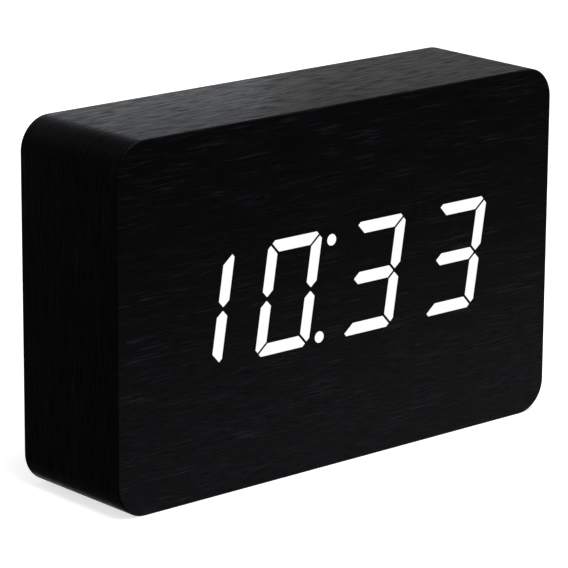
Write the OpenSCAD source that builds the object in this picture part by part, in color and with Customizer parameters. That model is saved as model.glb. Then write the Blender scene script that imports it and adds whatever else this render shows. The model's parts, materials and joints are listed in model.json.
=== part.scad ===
// Brick-shaped digital alarm clock. White seven-segment digits shine through a black veneered front.
// The front faces -Y, +X is to the right seen from the front, and the clock stands on z = 0.

/* [Case] */
// Overall width
case_w = 155; // [150:1:200]
// Overall height
case_h = 100; // [95:1:140]
// Overall depth
case_d = 40; // [38:1:70]
// Radius of the four long edges
corner_r = 9; // [7:0.5:14]
// Wall of the sleeve under the veneer
wall = 6; // [4:0.5:8]
// Thickness of the veneer sheets
veneer_t = 0.6; // [0.5:0.1:1]
// Chamfer round the front and rear rims
rim_chamfer = 0.3; // [0.1:0.1:0.4]
// Thickness of the front board
front_board_t = 3; // [2:0.5:4]
// Thickness of the rear board
rear_board_t = 5; // [4:0.5:7]

/* [Time shown] */
// Hour on the display
hours = 10; // [0:1:23]
// Minute on the display
minutes = 33; // [0:1:59]

/* [Digits] */
// Height of a digit
digit_h = 31; // [26:0.2:35]
// Width of a digit before it leans
digit_w = 18.9; // [16:0.1:22]
// Distance from one digit to the next
digit_pitch = 30.5; // [28:0.1:34]
// Lean of the digits, in degrees
lean = 9; // [0:0.5:12]
// Width of an upright stroke
stroke_v = 3.5; // [2.8:0.1:4.5]
// Height of a level stroke
stroke_h = 3.3; // [2.8:0.1:4.5]
// Gap between neighbouring strokes
stroke_gap = 0.65; // [0.3:0.05:0.8]
// Cut across the outer corners of a digit
corner_cut = 2.1; // [1.5:0.1:3.2]
// Blunt width of a stroke's pointed end
tip_flat = 0.3; // [0.2:0.1:1.2]
// Diameter of a colon dot
colon_d = 3.2; // [2.6:0.1:4.2]
// Centre of the colon, after the second digit
colon_gap = 3.7; // [3:0.1:6]
// Centre of the upper dot, below the top of the digits
colon_drop = 3.2; // [2:0.1:8]
// Centre of the lower dot, above the foot of the digits
colon_rise = 1.6; // [1.2:0.1:8]

/* [Display] */
// Centre of the display, right of the middle of the case
display_x = -4.3; // [-6:0.1:6]
// Centre of the display, above the middle of the case
display_rise = 1; // [-3:0.1:3]
// Border of the reflector round the digits
reflector_border = 2.4; // [2:0.1:3.5]
// Depth of the reflector
reflector_d = 6.6; // [5.5:0.1:9]
// Thickness of the mask film
mask_t = 0.2; // [0.1:0.05:0.3]
// Side of a mounting ear on the reflector
ear = 8; // [6:0.5:9]
// Thickness of the circuit boards
pcb_t = 1.6; // [1:0.1:2]

/* [Rear panel] */
// Thickness of the panel's face
panel_t = 2.2; // [2:0.1:3]
// Depth of the panel's face below the rear of the case
panel_recess = 0.6; // [0.6:0.1:1.4]
// Corner radius of the panel
panel_r = 4; // [2:0.5:5]
// Width of the ledge that carries the panel
ledge = 6; // [5:0.5:7]
// Width of the control area beside the battery bay
control_w = 50; // [48:1:56]
// Height of the posts that carry the control board
post_h = 5.9; // [5.6:0.1:7.5]

/* [Battery bay] */
// Diameter of a cell
cell_d = 10.5; // [9.5:0.1:11.5]
// Length of a cell over its terminals
cell_l = 44.5; // [40:0.1:48]
// Room round each cell
cell_room = 0.4; // [0.2:0.1:0.8]
// Walls and floor of the bay
bay_wall = 1.6; // [1.2:0.1:2]
// Fitted length of a contact spring
spring_l = 4; // [3.6:0.1:5]
// Wire diameter of a contact spring
spring_wire = 0.6; // [0.4:0.05:0.65]
// Thickness of a contact plate
contact_t = 0.4; // [0.2:0.1:0.6]

/* [Controls] */
// Diameter of a button cap
button_d = 8; // [6:0.5:9]
// Button row, above the middle of the panel
button_rise = 11; // [9:0.5:12]
// Travel of a button
button_travel = 0.5; // [0.3:0.1:0.7]
// Height of a button above the panel's face
button_proud = 0.5; // [0.2:0.1:0.6]
// Travel of the sound switch
slide_travel = 2; // [1.5:0.1:3]
// Width of the power socket
usb_w = 7.6; // [7:0.1:9]
// Height of the power socket
usb_h = 2.9; // [2.6:0.1:3.4]
// Diameter of the buzzer
buzzer_d = 12; // [9:0.5:13]
// Diameter of the microphone
mic_d = 6; // [4:0.5:7]

/* [Hidden] */
$fn = 48;
over = 1;
fit = 0.1;
slip = 0.12;
inlay_fit = 0.02;
touch = 0.05;

front_y = -case_d / 2;
rear_y = case_d / 2;
board_front_y = front_y + veneer_t;
front_board_back_y = board_front_y + front_board_t;
rear_skin_y = rear_y - veneer_t;
rear_board_front_y = rear_skin_y - rear_board_t;
mid_z = case_h / 2;
sleeve_w = case_w - 2 * veneer_t;
sleeve_h = case_h - 2 * veneer_t;
sleeve_r = corner_r - veneer_t;
inner_w = sleeve_w - 2 * wall;
inner_h = sleeve_h - 2 * wall;
inner_r = max(sleeve_r - wall, 1);
base_w = case_w - 2 * corner_r;

// Digits, in their own frame before they lean
STROKES = ["a", "b", "c", "d", "e", "f", "g"];
LIT = ["abcdef", "bc", "abdeg", "abcdg", "bcfg", "acdfg", "acdefg", "abc", "abcdefg", "abcdfg"];
shown = [floor(hours / 10), hours % 10, floor(minutes / 10), minutes % 10];
digit_count = len(shown);
mitre_l = norm([stroke_v, stroke_h]);
gap_u = stroke_gap / 2 * mitre_l / stroke_h;
gap_v = stroke_gap / 2 * mitre_l / stroke_v;
foot_t = (corner_cut - gap_u) / (stroke_v + stroke_h);
side_t = (corner_cut - gap_v) / (stroke_v + stroke_h);
tip_u = tip_flat / 2 * stroke_v / stroke_h;
tip_v = tip_flat / 2 * stroke_h / stroke_v;
foot_stroke = [
    [corner_cut, 0],
    [digit_w - corner_cut, 0],
    [digit_w - gap_u - foot_t * stroke_v, foot_t * stroke_h],
    [digit_w - gap_u - stroke_v, stroke_h],
    [gap_u + stroke_v, stroke_h],
    [gap_u + foot_t * stroke_v, foot_t * stroke_h]
];
side_shoulder = digit_h / 2 - stroke_h / 2 - gap_v;
side_stroke = [
    [0, corner_cut],
    [side_t * stroke_v, gap_v + side_t * stroke_h],
    [stroke_v, gap_v + stroke_h],
    [stroke_v, side_shoulder],
    [stroke_v / 2 + tip_flat / 2, digit_h / 2 - gap_v - tip_v],
    [stroke_v / 2 - tip_flat / 2, digit_h / 2 - gap_v - tip_v],
    [0, side_shoulder]
];
middle_half = [
    [gap_u + stroke_v, (digit_h - stroke_h) / 2],
    [digit_w - gap_u - stroke_v, (digit_h - stroke_h) / 2],
    [digit_w - gap_u - stroke_v / 2 - tip_u, (digit_h - tip_flat) / 2],
    [digit_w - gap_u - stroke_v / 2 - tip_u, (digit_h + tip_flat) / 2]
];

// Display stack
display_z = mid_z + display_rise;
display_span = (digit_count - 1) * digit_pitch + digit_w;
digit_z = display_z - digit_h / 2;
mask_back_y = board_front_y + mask_t;
reflector_back_y = mask_back_y + reflector_d;
display_board_back_y = reflector_back_y + pcb_t;
module_w = display_span + digit_h * tan(lean) + 2 * reflector_border;
module_h = digit_h + 2 * reflector_border;
ear_x = module_w / 2 - ear;
ear_z = (module_h + ear) / 2;
led_size = [2, 0.8, 1.2];
led_room = 1.1;

// Screws
screw_d = 2;
screw_head_d = 4;
screw_head_h = 1.2;
screw_tip_gap = 0.4;
recess_w = 0.5;
recess_l = 2.4;
recess_d = 0.6;

// Rear panel and battery bay
panel_fit = 0.5;
reveal = 0.2;
door_seat = 0.2;
door_lap = 0.8;
door_gap = 0.2;
cell_count = 4;
cell_pitch = cell_d + cell_room;
dimple_h = 0.6;
dimple_d = 4;
bay_l = cell_l + spring_l + 2 * contact_t + dimple_h + 2 * touch;
bay_h = cell_count * cell_d + (cell_count + 1) * cell_room;
bay_outer_l = bay_l + 2 * bay_wall;
bay_outer_h = bay_h + 2 * bay_wall;
bay_r = min(panel_r - panel_fit, 2 * bay_wall);
panel_w = bay_outer_l + control_w + 2 * (ledge + panel_fit);
panel_h = bay_outer_h + 2 * (ledge + panel_fit);
panel_face_y = rear_y - panel_recess;
panel_back_y = panel_face_y - panel_t;
control_x0 = -panel_w / 2 + ledge + panel_fit;
control_x1 = control_x0 + control_w;
control_mid = control_x0 + control_w / 2;
bay_x0 = control_x1 + bay_wall;
bay_x1 = bay_x0 + bay_l;
door_t = panel_t - door_seat;
door_under_y = panel_face_y - door_t;
door_r = door_t / 2;
door_x0 = bay_x0 - door_lap + door_gap;
door_x1 = bay_x1 + door_lap - door_gap;
door_h = bay_h + 2 * (door_lap - door_gap);
hinge_x = door_x1 - door_r;
hinge_y = panel_face_y - door_r;
pin_r = 0.6;
pin_l = 1.5;
pin_fit = 0.05;
notch_r = 6;
notch_d = 1.2;
grip_count = 4;
grip_pitch = 1.9;
grip_w = 0.8;
grip_h = 0.4;
grip_l = 16;
hold_w = 1;
hold_d = 2;
tongue_w = 18;
tongue_l = 9;
slit_w = 0.7;
lip_room = 0.6;
lip_t = 0.6;
lip_d = 1.6;
lip_w = 10;
cell_y = door_under_y - cell_room - cell_d / 2;
bay_floor_y = cell_y - cell_d / 2 - cell_room / 2;
cradle_w = 0.36 * cell_d;
cradle_h = 0.18 * cell_d;
panel_screw_inset = ledge - screw_head_d / 2;
tab_w = 2.5;
tab_l = 2;
tab_rise = 1.7;
tab_y = bay_floor_y + tab_rise;
tab_shift = 2.75;
plate_w = 8;
plate_margin = 1;
plate_h = cell_d - 2 * plate_margin;
spring_r0 = 3.6;
spring_r1 = 2.2;
spring_turns = 3;
spring_flat = 0.35;
curl_rings = 8;
wire_sides = 6;

// Control board, with its pieces in columns set in from the ends of the control area
column_inset = 12;
side_inset = 8;
ribbon_inset = 7.5;
button_pitch = control_w / 2 - column_inset;
side_x = control_x1 - side_inset;
ribbon_x = control_x0 + ribbon_inset;
board_room = 1.2;
board_w = control_w - 2 * board_room;
board_h = bay_outer_h - 2 * board_room;
board_back_y = panel_back_y - post_h;
board_front_face_y = board_back_y - pcb_t;
post_d = 5;
post_inset = 3.5;
post_x = board_w / 2 - post_inset;
post_z = board_h / 2 - post_inset;
post_bite = 4;
tact_side = 6;
tact_h = 3.5;
plunger_d = 3.5;
plunger_proud = 1;
plunger_depth = 1;
tact_top_y = board_back_y + tact_h;
plunger_top_y = tact_top_y + plunger_proud;
flange_top_y = panel_back_y - touch;
flange_t = 1;
flange_rim = 0.6;
stem_d = 3.2;
cap_edge = 0.4;
dish_rim = 0.8;
dish_w = button_d - 2 * dish_rim;
dish_d = 0.25;
dish_r = (dish_w * dish_w / 4 + dish_d * dish_d) / (2 * dish_d);
slide_body = [8.6, 3.5, 3.6];
knob_w = 2.4;
knob_h = 2;
knob_depth = 1.2;
knob_edge = 0.3;
knob_groove = 0.3;
knob_well = [8.4, 5.2];
knob_well_d = 0.6;
slide_x = control_mid + button_pitch;
slide_drop = 3;
usb_drop = 15;
usb_shell_t = 0.3;
usb_floor = 1.5;
usb_inset = 0.4;
usb_cut = [0.9, 1.1];
tongue_size = [5, 0.6, 0.7];
buzzer_drop = 9;
buzzer_h = 5.4;
mic_drop = 15;
mic_h = 4.6;
sound_hole_d = 1.6;
grille_pitch = 2.8;
coin_d = 20;
coin_t = 3.2;
coin_wall = 1.6;
coin_floor = 1;
crystal_d = 3;
crystal_l = 8;
cap_d = 6.3;
cap_h = 7;
mcu_size = [10, 1.6, 4];
mcu_legs = 16;
driver_size = [18, 2.2, 7.5];
driver_legs = 28;
mcu_rise = 17;
leg_pitch = 1.27;
leg_w = 0.45;
leg_out = 1.2;
leg_t = 0.25;
lead_r = 0.7;
lead_reach = 6;
lead_sag = 4.5;
lead_rings = 13;
lead_sides = 8;

// Ribbon between the two boards
ribbon_w = 8;
ribbon_t = 0.5;
ribbon_drop = 10;
ribbon_steps = 16;
ribbon_rise = 12;
socket_size = [10, 4, 4];

black_wood = [0.05, 0.05, 0.05];
board_tan = [0.55, 0.42, 0.3];
black_plastic = [0.09, 0.09, 0.1];
pcb_green = [0.1, 0.3, 0.16];
steel = [0.72, 0.72, 0.74];

function flip_u(points) = [for (p = points) [digit_w - p[0], p[1]]];
function flip_v(points) = [for (p = points) [p[0], digit_h - p[1]]];
function turned(points) = [for (p = points) [digit_w - p[0], digit_h - p[1]]];
function leaned(p) = [p[0] + (p[1] - digit_h / 2) * tan(lean), p[1]];
function digit_place(i) = [display_x - display_span / 2 + i * digit_pitch, digit_z];
function stroke_points(s) =
    s == "a" ? flip_v(foot_stroke) :
    s == "b" ? turned(side_stroke) :
    s == "c" ? flip_u(side_stroke) :
    s == "d" ? foot_stroke :
    s == "e" ? side_stroke :
    s == "f" ? flip_v(side_stroke) :
    concat(middle_half, turned(middle_half));
function placed(i, s) = [for (p = stroke_points(s)) leaned(p) + digit_place(i)];
function is_lit(i, s) = len(search(s, LIT[shown[i]])) > 0;
function mean(points) = [for (p = points) 1] * points / len(points);
colon_places = [
    for (v = [digit_h - colon_drop, colon_rise]) leaned([digit_w + colon_gap, v]) + digit_place(1)
];
led_places = concat(
    [for (i = [0 : digit_count - 1], s = STROKES) mean(placed(i, s))],
    colon_places
);

function cell_z(k) = mid_z + ((cell_count - 1) / 2 - k) * cell_pitch;
function button_x(i) = control_mid + (1 - i) * button_pitch;

// Quads of a swept tube, as triangles, with a fan at each end
function tube_faces(rings, sides) = concat(
    [for (i = [0 : rings - 2], j = [0 : sides - 1])
        [i * sides + j, i * sides + (j + 1) % sides, (i + 1) * sides + (j + 1) % sides]],
    [for (i = [0 : rings - 2], j = [0 : sides - 1])
        [i * sides + j, (i + 1) * sides + (j + 1) % sides, (i + 1) * sides + j]],
    [for (j = [1 : sides - 2]) [0, j + 1, j]],
    [for (j = [1 : sides - 2]) let (b = (rings - 1) * sides) [b, b + j, b + j + 1]]
);

// Centre line of a contact spring: flat end turns with an even climb between them
spring_rings = spring_turns * curl_rings + 1;
function spring_climb(t) =
    min(max((t - spring_flat) / (spring_turns - 2 * spring_flat), 0), 1) * (spring_l - spring_wire);
function spring_radius(t) = spring_r0 + (spring_r1 - spring_r0) * t / spring_turns;
function spring_point(t) = [
    spring_wire / 2 + spring_climb(t),
    spring_radius(t) * cos(360 * t),
    spring_radius(t) * sin(360 * t)
];
function spring_ring(t) = [
    for (j = [0 : wire_sides - 1])
        let (b = 360 * j / wire_sides, r = spring_wire / 2)
        spring_point(t) + r * [sin(b), cos(b) * cos(360 * t), cos(b) * sin(360 * t)]
];
spring_gap = min([
    for (i = [0 : spring_rings - 1], j = [0 : spring_rings - 1])
        if (j - i >= curl_rings / 2)
            norm(spring_point(j / curl_rings) - spring_point(i / curl_rings)) - spring_wire
]);
echo(least_gap_in_spring = spring_gap);

// Centre line of a battery lead, in the plane of its tab: out of the tab, then up to the board
lead_start = [control_x1 - tab_l, tab_y];
lead_end = [control_x1 - tab_l - lead_reach, board_front_face_y];
lead_bend = [lead_start - [lead_reach / 2, 0], lead_end - [0, lead_sag]];
function lead_point(t) =
    pow(1 - t, 3) * lead_start
    + 3 * t * pow(1 - t, 2) * lead_bend[0]
    + 3 * t * t * (1 - t) * lead_bend[1]
    + pow(t, 3) * lead_end;
function lead_along(t) =
    let (
        d = pow(1 - t, 2) * (lead_bend[0] - lead_start)
            + 2 * t * (1 - t) * (lead_bend[1] - lead_bend[0])
            + t * t * (lead_end - lead_bend[1])
    )
    d / norm(d);
function lead_ring(t) =
    let (c = lead_point(t), a = lead_along(t))
    [for (j = [0 : lead_sides - 1])
        let (b = 360 * j / lead_sides)
        [c[0] - a[1] * lead_r * cos(b), c[1] + a[0] * lead_r * cos(b), lead_r * sin(b)]];

// Centre line of the ribbon in the plane of depth and height
ribbon_y0 = display_board_back_y + socket_size[1];
ribbon_y1 = board_front_face_y - socket_size[1];
control_socket_z = mid_z + ribbon_rise;
display_socket_z = control_socket_z - ribbon_drop;
function ribbon_point(t) = [
    ribbon_y0 + (ribbon_y1 - ribbon_y0) * t,
    display_socket_z + ribbon_drop * (1 - cos(180 * t)) / 2
];
function ribbon_across(t) =
    let (d = [ribbon_y1 - ribbon_y0, ribbon_drop * PI / 2 * sin(180 * t)])
    [-d[1], d[0]] / norm(d) * ribbon_t / 2;

// Outline of the power socket, drawn in by a wall
function usb_outline(inset) =
    let (
        w = usb_w / 2 - inset,
        h = usb_h / 2 - inset,
        slope = inset / 2,
        x = usb_w / 2 - usb_cut[0] - slope,
        z = usb_cut[1] - usb_h / 2 + slope
    )
    [[-w, h], [-w, z], [-x, -h], [x, -h], [w, z], [w, h]];

// Fills a drawing of the front view between two depths
module slab(y0, y1) {
    translate([0, y1, 0])
        rotate([90, 0, 0])
            linear_extrude(y1 - y0)
                children();
}

// Fills a drawing of depth and height between two places across the clock
module across(x0, x1) {
    translate([x0, 0, 0])
        rotate([90, 0, 90])
            linear_extrude(x1 - x0)
                children();
}

module rod(d, y0, y1) {
    slab(y0, y1)
        circle(d = d);
}

module at(x, z) {
    translate([x, 0, z])
        children();
}

module rounded_rect(w, h, r) {
    square([w - 2 * r, h], center = true);
    square([w, h - 2 * r], center = true);
    for (sx = [-1, 1], sz = [-1, 1])
        translate([sx * (w / 2 - r), sz * (h / 2 - r)])
            circle(r);
}

// Round-cornered block whose front and rear rims can be chamfered
module rim_block(w, h, r, y0, y1, cut0, cut1) {
    function profile(half) = [
        [cut0 - half, y0], [half - cut0, y0], [half, y0 + cut0], [half, y1 - cut1],
        [half - cut1, y1], [cut1 - half, y1], [-half, y1 - cut1], [-half, y0 + cut0]
    ];
    across(r - w / 2, w / 2 - r)
        polygon([for (p = profile(h / 2)) [p[1], p[0]]]);
    linear_extrude(h - 2 * r, center = true)
        polygon(profile(w / 2));
    for (sx = [-1, 1], sz = [-1, 1])
        at(sx * (w / 2 - r), sz * (h / 2 - r))
            rotate([-90, 0, 0])
                rotate_extrude()
                    polygon([
                        [0, y0], [r - cut0, y0], [r, y0 + cut0],
                        [r, y1 - cut1], [r - cut1, y1], [0, y1]
                    ]);
}

module stroke(i, s) {
    polygon(placed(i, s));
}

module all_strokes() {
    for (i = [0 : digit_count - 1], s = STROKES)
        stroke(i, s);
}

module lit_strokes() {
    for (i = [0 : digit_count - 1], s = STROKES)
        if (is_lit(i, s))
            stroke(i, s);
}

module colon(d) {
    for (p = colon_places)
        translate(p)
            circle(d = d);
}

// Cross-head screw whose head stands on seat_y and whose shank runs to tip_y
module screw(seat_y, tip_y) {
    out = sign(seat_y - tip_y);
    head_y = seat_y + out * screw_head_h;
    floor_y = head_y - out * recess_d;
    rod(screw_d, min(seat_y, tip_y), max(seat_y, tip_y));
    difference() {
        rod(screw_head_d, min(seat_y, head_y), max(seat_y, head_y));
        slab(min(floor_y, head_y + out), max(floor_y, head_y + out)) {
            square([recess_l, recess_w], center = true);
            square([recess_w, recess_l], center = true);
        }
    }
}

module display_corners() {
    for (sx = [-1, 1], sz = [-1, 1])
        at(display_x + sx * ear_x, display_z + sz * ear_z)
            children();
}

module panel_corners() {
    for (sx = [-1, 1], sz = [-1, 1])
        at(sx * (panel_w / 2 - panel_screw_inset), mid_z + sz * (panel_h / 2 - panel_screw_inset))
            children();
}

module board_corners() {
    for (sx = [-1, 1], sz = [-1, 1])
        at(control_mid + sx * post_x, mid_z + sz * post_z)
            children();
}

// Chip that stands on y = 0 and rises along +Y, with bent legs on its two long sides
module chip(size, legs) {
    row = legs / 2;
    translate([-size[0] / 2, leg_t, -size[2] / 2])
        cube([size[0], size[1] - leg_t, size[2]]);
    for (i = [0 : row - 1], side = [0, 1])
        mirror([0, 0, side])
            translate([(i - (row - 1) / 2) * leg_pitch, 0, size[2] / 2])
                across(-leg_w / 2, leg_w / 2)
                    polygon([
                        [size[1] / 2, 0], [size[1] / 2, leg_out / 2], [leg_t, leg_out / 2], [leg_t, leg_out],
                        [0, leg_out], [0, leg_out / 2 - leg_t], [size[1] / 2 - leg_t, leg_out / 2 - leg_t],
                        [size[1] / 2 - leg_t, 0]
                    ]);
}

module case_frame() {
    color(board_tan)
        slab(board_front_y, rear_skin_y)
            translate([0, mid_z])
                difference() {
                    rounded_rect(sleeve_w, sleeve_h, sleeve_r);
                    rounded_rect(inner_w, inner_h, inner_r);
                }
}

module front_board() {
    color(board_tan)
        difference() {
            slab(board_front_y, front_board_back_y)
                difference() {
                    translate([0, mid_z])
                        rounded_rect(inner_w - 2 * fit, inner_h - 2 * fit, inner_r);
                    translate([display_x, display_z])
                        square([module_w + 2 * fit, module_h + 2 * fit], center = true);
                }
            display_corners()
                rod(screw_d + 2 * touch, board_front_y - over, front_board_back_y + over);
        }
}

module rear_board() {
    color(board_tan)
        difference() {
            slab(rear_board_front_y, rear_skin_y)
                translate([0, mid_z])
                    difference() {
                        rounded_rect(inner_w - 2 * fit, inner_h - 2 * fit, inner_r);
                        rounded_rect(panel_w - 2 * ledge, panel_h - 2 * ledge, bay_r + panel_fit);
                    }
            slab(panel_back_y, rear_y)
                translate([0, mid_z])
                    rounded_rect(panel_w + 2 * reveal, panel_h + 2 * reveal, panel_r + reveal);
            panel_corners()
                rod(screw_d + 2 * touch, rear_board_front_y - over, rear_y);
        }
}

module front_veneer() {
    color(black_wood)
        difference() {
            translate([0, 0, mid_z])
                rim_block(case_w, case_h, corner_r, front_y, board_front_y, rim_chamfer, 0);
            slab(front_y - over, board_front_y + over) {
                lit_strokes();
                colon(colon_d);
            }
        }
}

module wrap_veneer() {
    color(black_wood)
        difference() {
            translate([0, 0, mid_z])
                rim_block(case_w, case_h, corner_r, board_front_y, rear_y, 0, rim_chamfer);
            slab(board_front_y - over, rear_y + over) {
                translate([0, mid_z])
                    rounded_rect(sleeve_w, sleeve_h, sleeve_r);
                translate([-base_w / 2, -over])
                    square([base_w, mid_z]);
            }
        }
}

module base_veneer() {
    color(black_wood)
        across(-base_w / 2, base_w / 2)
            polygon([
                [board_front_y, 0], [rear_y - rim_chamfer, 0], [rear_y, rim_chamfer],
                [rear_y, veneer_t], [board_front_y, veneer_t]
            ]);
}

module rear_veneer() {
    color(black_wood)
        slab(rear_skin_y, rear_y)
            translate([0, mid_z])
                difference() {
                    rounded_rect(sleeve_w, sleeve_h, sleeve_r);
                    rounded_rect(panel_w + 2 * reveal, panel_h + 2 * reveal, panel_r + reveal);
                }
}

module lit_segments() {
    color("white")
        slab(front_y, board_front_y) {
            lit_strokes();
            colon(colon_d - 2 * inlay_fit);
        }
}

module light_mask() {
    color("black")
        slab(board_front_y, mask_back_y)
            difference() {
                translate([display_x, display_z])
                    square([module_w, module_h], center = true);
                all_strokes();
                colon(colon_d);
            }
}

module reflector() {
    color("whitesmoke")
        difference() {
            union() {
                slab(mask_back_y, reflector_back_y)
                    translate([display_x, display_z])
                        square([module_w, module_h], center = true);
                // A pair of ears is one bar through the plate
                slab(front_board_back_y, reflector_back_y)
                    for (sx = [-1, 1])
                        translate([display_x + sx * ear_x, display_z])
                            square([ear, module_h + 2 * ear], center = true);
            }
            slab(mask_back_y - over, reflector_back_y + over) {
                all_strokes();
                colon(colon_d);
            }
            display_corners()
                rod(screw_d + 2 * fit, front_board_back_y - over, reflector_back_y + over);
        }
}

module segment_diffusers() {
    color("ivory")
        slab(mask_back_y, reflector_back_y - led_room) {
            all_strokes();
            colon(colon_d - 2 * inlay_fit);
        }
}

module leds() {
    color("lightyellow")
        for (p = led_places)
            translate([p[0] - led_size[0] / 2, reflector_back_y - led_size[1], p[1] - led_size[2] / 2])
                cube(led_size);
}

module display_board() {
    color(pcb_green)
        difference() {
            slab(reflector_back_y, display_board_back_y)
                translate([display_x, display_z])
                    square([module_w, module_h + 2 * ear], center = true);
            display_corners()
                rod(screw_d + 2 * fit, reflector_back_y - over, display_board_back_y + over);
        }
}

module driver_chip() {
    color("dimgray")
        translate([display_x, display_board_back_y, display_z])
            chip(driver_size, driver_legs);
}

module display_screws() {
    color(steel)
        display_corners()
            screw(display_board_back_y, board_front_y + screw_tip_gap);
}

// Block of a ribbon connector, which the end of the ribbon stands on
module socket(z, y0) {
    color("ivory")
        translate([ribbon_x - socket_size[0] / 2, y0, z - socket_size[2] / 2])
            cube(socket_size);
}

module display_socket() {
    socket(display_socket_z, display_board_back_y);
}

module control_socket() {
    socket(control_socket_z, ribbon_y1);
}

module ribbon_cable() {
    steps = [for (i = [0 : ribbon_steps]) i / ribbon_steps];
    upper = [for (t = steps) ribbon_point(t) + ribbon_across(t)];
    lower = [for (i = [ribbon_steps : -1 : 0]) ribbon_point(steps[i]) - ribbon_across(steps[i])];
    color("lightgray")
        across(ribbon_x - ribbon_w / 2, ribbon_x + ribbon_w / 2)
            polygon(concat(upper, lower));
}

module bay_cut(x0, x1, y0, y1, h) {
    translate([x0, y0, mid_z - h / 2])
        cube([x1 - x0, y1 - y0, h]);
}

// Slots in the bay's end wall for the two solder tabs
module tab_slots(room) {
    for (k = [0, cell_count - 1])
        translate([control_x1 - over, tab_y - contact_t / 2 - room, tab_z(k) - tab_w / 2 - room])
            cube([bay_wall + over + contact_t, contact_t + 2 * room, tab_w + 2 * room]);
}

function tab_z(k) = cell_z(k) + (k == 0 ? -tab_shift : tab_shift);

module panel_openings() {
    bay_cut(bay_x0, bay_x1, bay_floor_y, panel_back_y + touch, bay_h);
    bay_cut(bay_x0 - door_lap, bay_x1 + door_lap, panel_back_y, panel_face_y + over, bay_h + 2 * door_lap);
    translate([hinge_x, hinge_y, mid_z - door_h / 2 - pin_l - 2 * fit])
        cylinder(r = pin_r + pin_fit, h = door_h + 2 * pin_l + 4 * fit);
    at(bay_x0 - door_lap, mid_z)
        rod(2 * notch_r, panel_face_y - notch_d, panel_face_y + over);
    tab_slots(fit);
    for (i = [0 : 2])
        at(button_x(i), mid_z + button_rise) {
            rod(button_d + 2 * slip, panel_back_y - over, panel_face_y + over);
            translate([0, panel_face_y - rim_chamfer, 0])
                rotate([-90, 0, 0])
                    cylinder(h = over, r1 = button_d / 2 + slip, r2 = button_d / 2 + slip + over);
        }
    slab(panel_face_y - knob_well_d, panel_face_y + over)
        translate([slide_x, mid_z - slide_drop])
            rounded_rect(knob_well[0], knob_well[1], knob_well[1] / 4);
    slab(panel_back_y - over, panel_face_y + over) {
        translate([slide_x, mid_z - slide_drop])
            square([knob_w + slide_travel + 2 * slip, knob_h + 2 * slip], center = true);
        translate([slide_x, mid_z - usb_drop])
            polygon(usb_outline(-slip));
        translate([control_mid, mid_z - mic_drop])
            circle(d = sound_hole_d);
        translate([control_mid - button_pitch, mid_z - buzzer_drop]) {
            circle(d = sound_hole_d);
            for (a = [0 : 60 : 300])
                rotate(a)
                    translate([grille_pitch, 0])
                        circle(d = sound_hole_d);
        }
    }
    panel_corners() {
        rod(screw_d + 2 * fit, panel_back_y - over, panel_face_y + over);
        rod(screw_head_d + 2 * reveal, panel_face_y - screw_head_h - fit, panel_face_y + over);
    }
    board_corners()
        rod(screw_d + 2 * touch, board_back_y - over, board_back_y + post_bite + fit);
}

module rear_panel() {
    color(black_plastic) {
        difference() {
            union() {
                translate([0, 0, mid_z])
                    rim_block(panel_w, panel_h, panel_r, panel_back_y, panel_face_y, 0, rim_chamfer);
                slab(bay_floor_y - bay_wall, panel_back_y + touch)
                    translate([control_x1 + bay_outer_l / 2, mid_z])
                        rounded_rect(bay_outer_l, bay_outer_h, bay_r);
                board_corners()
                    rod(post_d, board_back_y, panel_back_y + touch);
            }
            panel_openings();
        }
        for (k = [0 : cell_count - 2])
            translate([0, 0, (cell_z(k) + cell_z(k + 1)) / 2])
                across(bay_x0 + bay_l / 4, bay_x1 - bay_l / 4)
                    polygon([
                        [bay_floor_y - touch, -cradle_w / 2], [bay_floor_y - touch, cradle_w / 2],
                        [bay_floor_y + cradle_h, 0]
                    ]);
    }
}

module panel_screws() {
    color(steel)
        panel_corners()
            screw(panel_face_y - screw_head_h - fit, rear_board_front_y + screw_tip_gap);
}

module control_board() {
    color(pcb_green)
        difference() {
            slab(board_front_face_y, board_back_y)
                translate([control_mid, mid_z])
                    square([board_w, board_h], center = true);
            board_corners()
                rod(screw_d + 2 * fit, board_front_face_y - over, board_back_y + over);
        }
}

module board_screws() {
    color(steel)
        board_corners()
            screw(board_front_face_y, board_back_y + post_bite);
}

// Places a piece that stands on y = 0 on the inner face of the control board
module on_board(x, z) {
    translate([x, board_front_face_y, z])
        rotate([0, 0, 180])
            children();
}

module mcu_chip() {
    color("dimgray")
        on_board(control_mid, mid_z + mcu_rise)
            chip(mcu_size, mcu_legs);
}

module crystal_can() {
    color(steel)
        translate([side_x, board_front_face_y - crystal_d / 2, mid_z])
            cylinder(d = crystal_d, h = crystal_l);
}

module capacitor() {
    color("midnightblue")
        at(side_x, mid_z - cap_d)
            rod(cap_d, board_front_face_y - cap_h, board_front_face_y);
}

module coin_holder() {
    outer_d = coin_d + 2 * coin_wall;
    color(black_plastic)
        at(control_mid, mid_z)
            difference() {
                rod(outer_d, board_front_face_y - coin_floor - coin_t, board_front_face_y);
                rod(coin_d + 2 * fit, board_front_face_y - coin_floor - coin_t - over,
                    board_front_face_y - coin_floor);
                slab(board_front_face_y - coin_floor - coin_t - over, board_front_face_y - coin_floor)
                    translate([0, -outer_d / 2])
                        square([coin_d / 2, outer_d], center = true);
            }
}

module coin_cell() {
    rim = 1.2;
    step = 0.5;
    color(steel)
        at(control_mid, mid_z)
            translate([0, board_front_face_y - coin_floor - coin_t, 0])
                rotate([-90, 0, 0])
                    rotate_extrude()
                        polygon([
                            [0, 0], [coin_d / 2, 0], [coin_d / 2, coin_t - step],
                            [coin_d / 2 - rim, coin_t - step], [coin_d / 2 - rim, coin_t], [0, coin_t]
                        ]);
}

// Round sounder on the rear face of the control board, with a port in its top
module sounder(x, z, d, h) {
    at(x, z)
        difference() {
            rod(d, board_back_y, board_back_y + h);
            rod(sound_hole_d, board_back_y + h / 2, board_back_y + h + over);
        }
}

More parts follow.
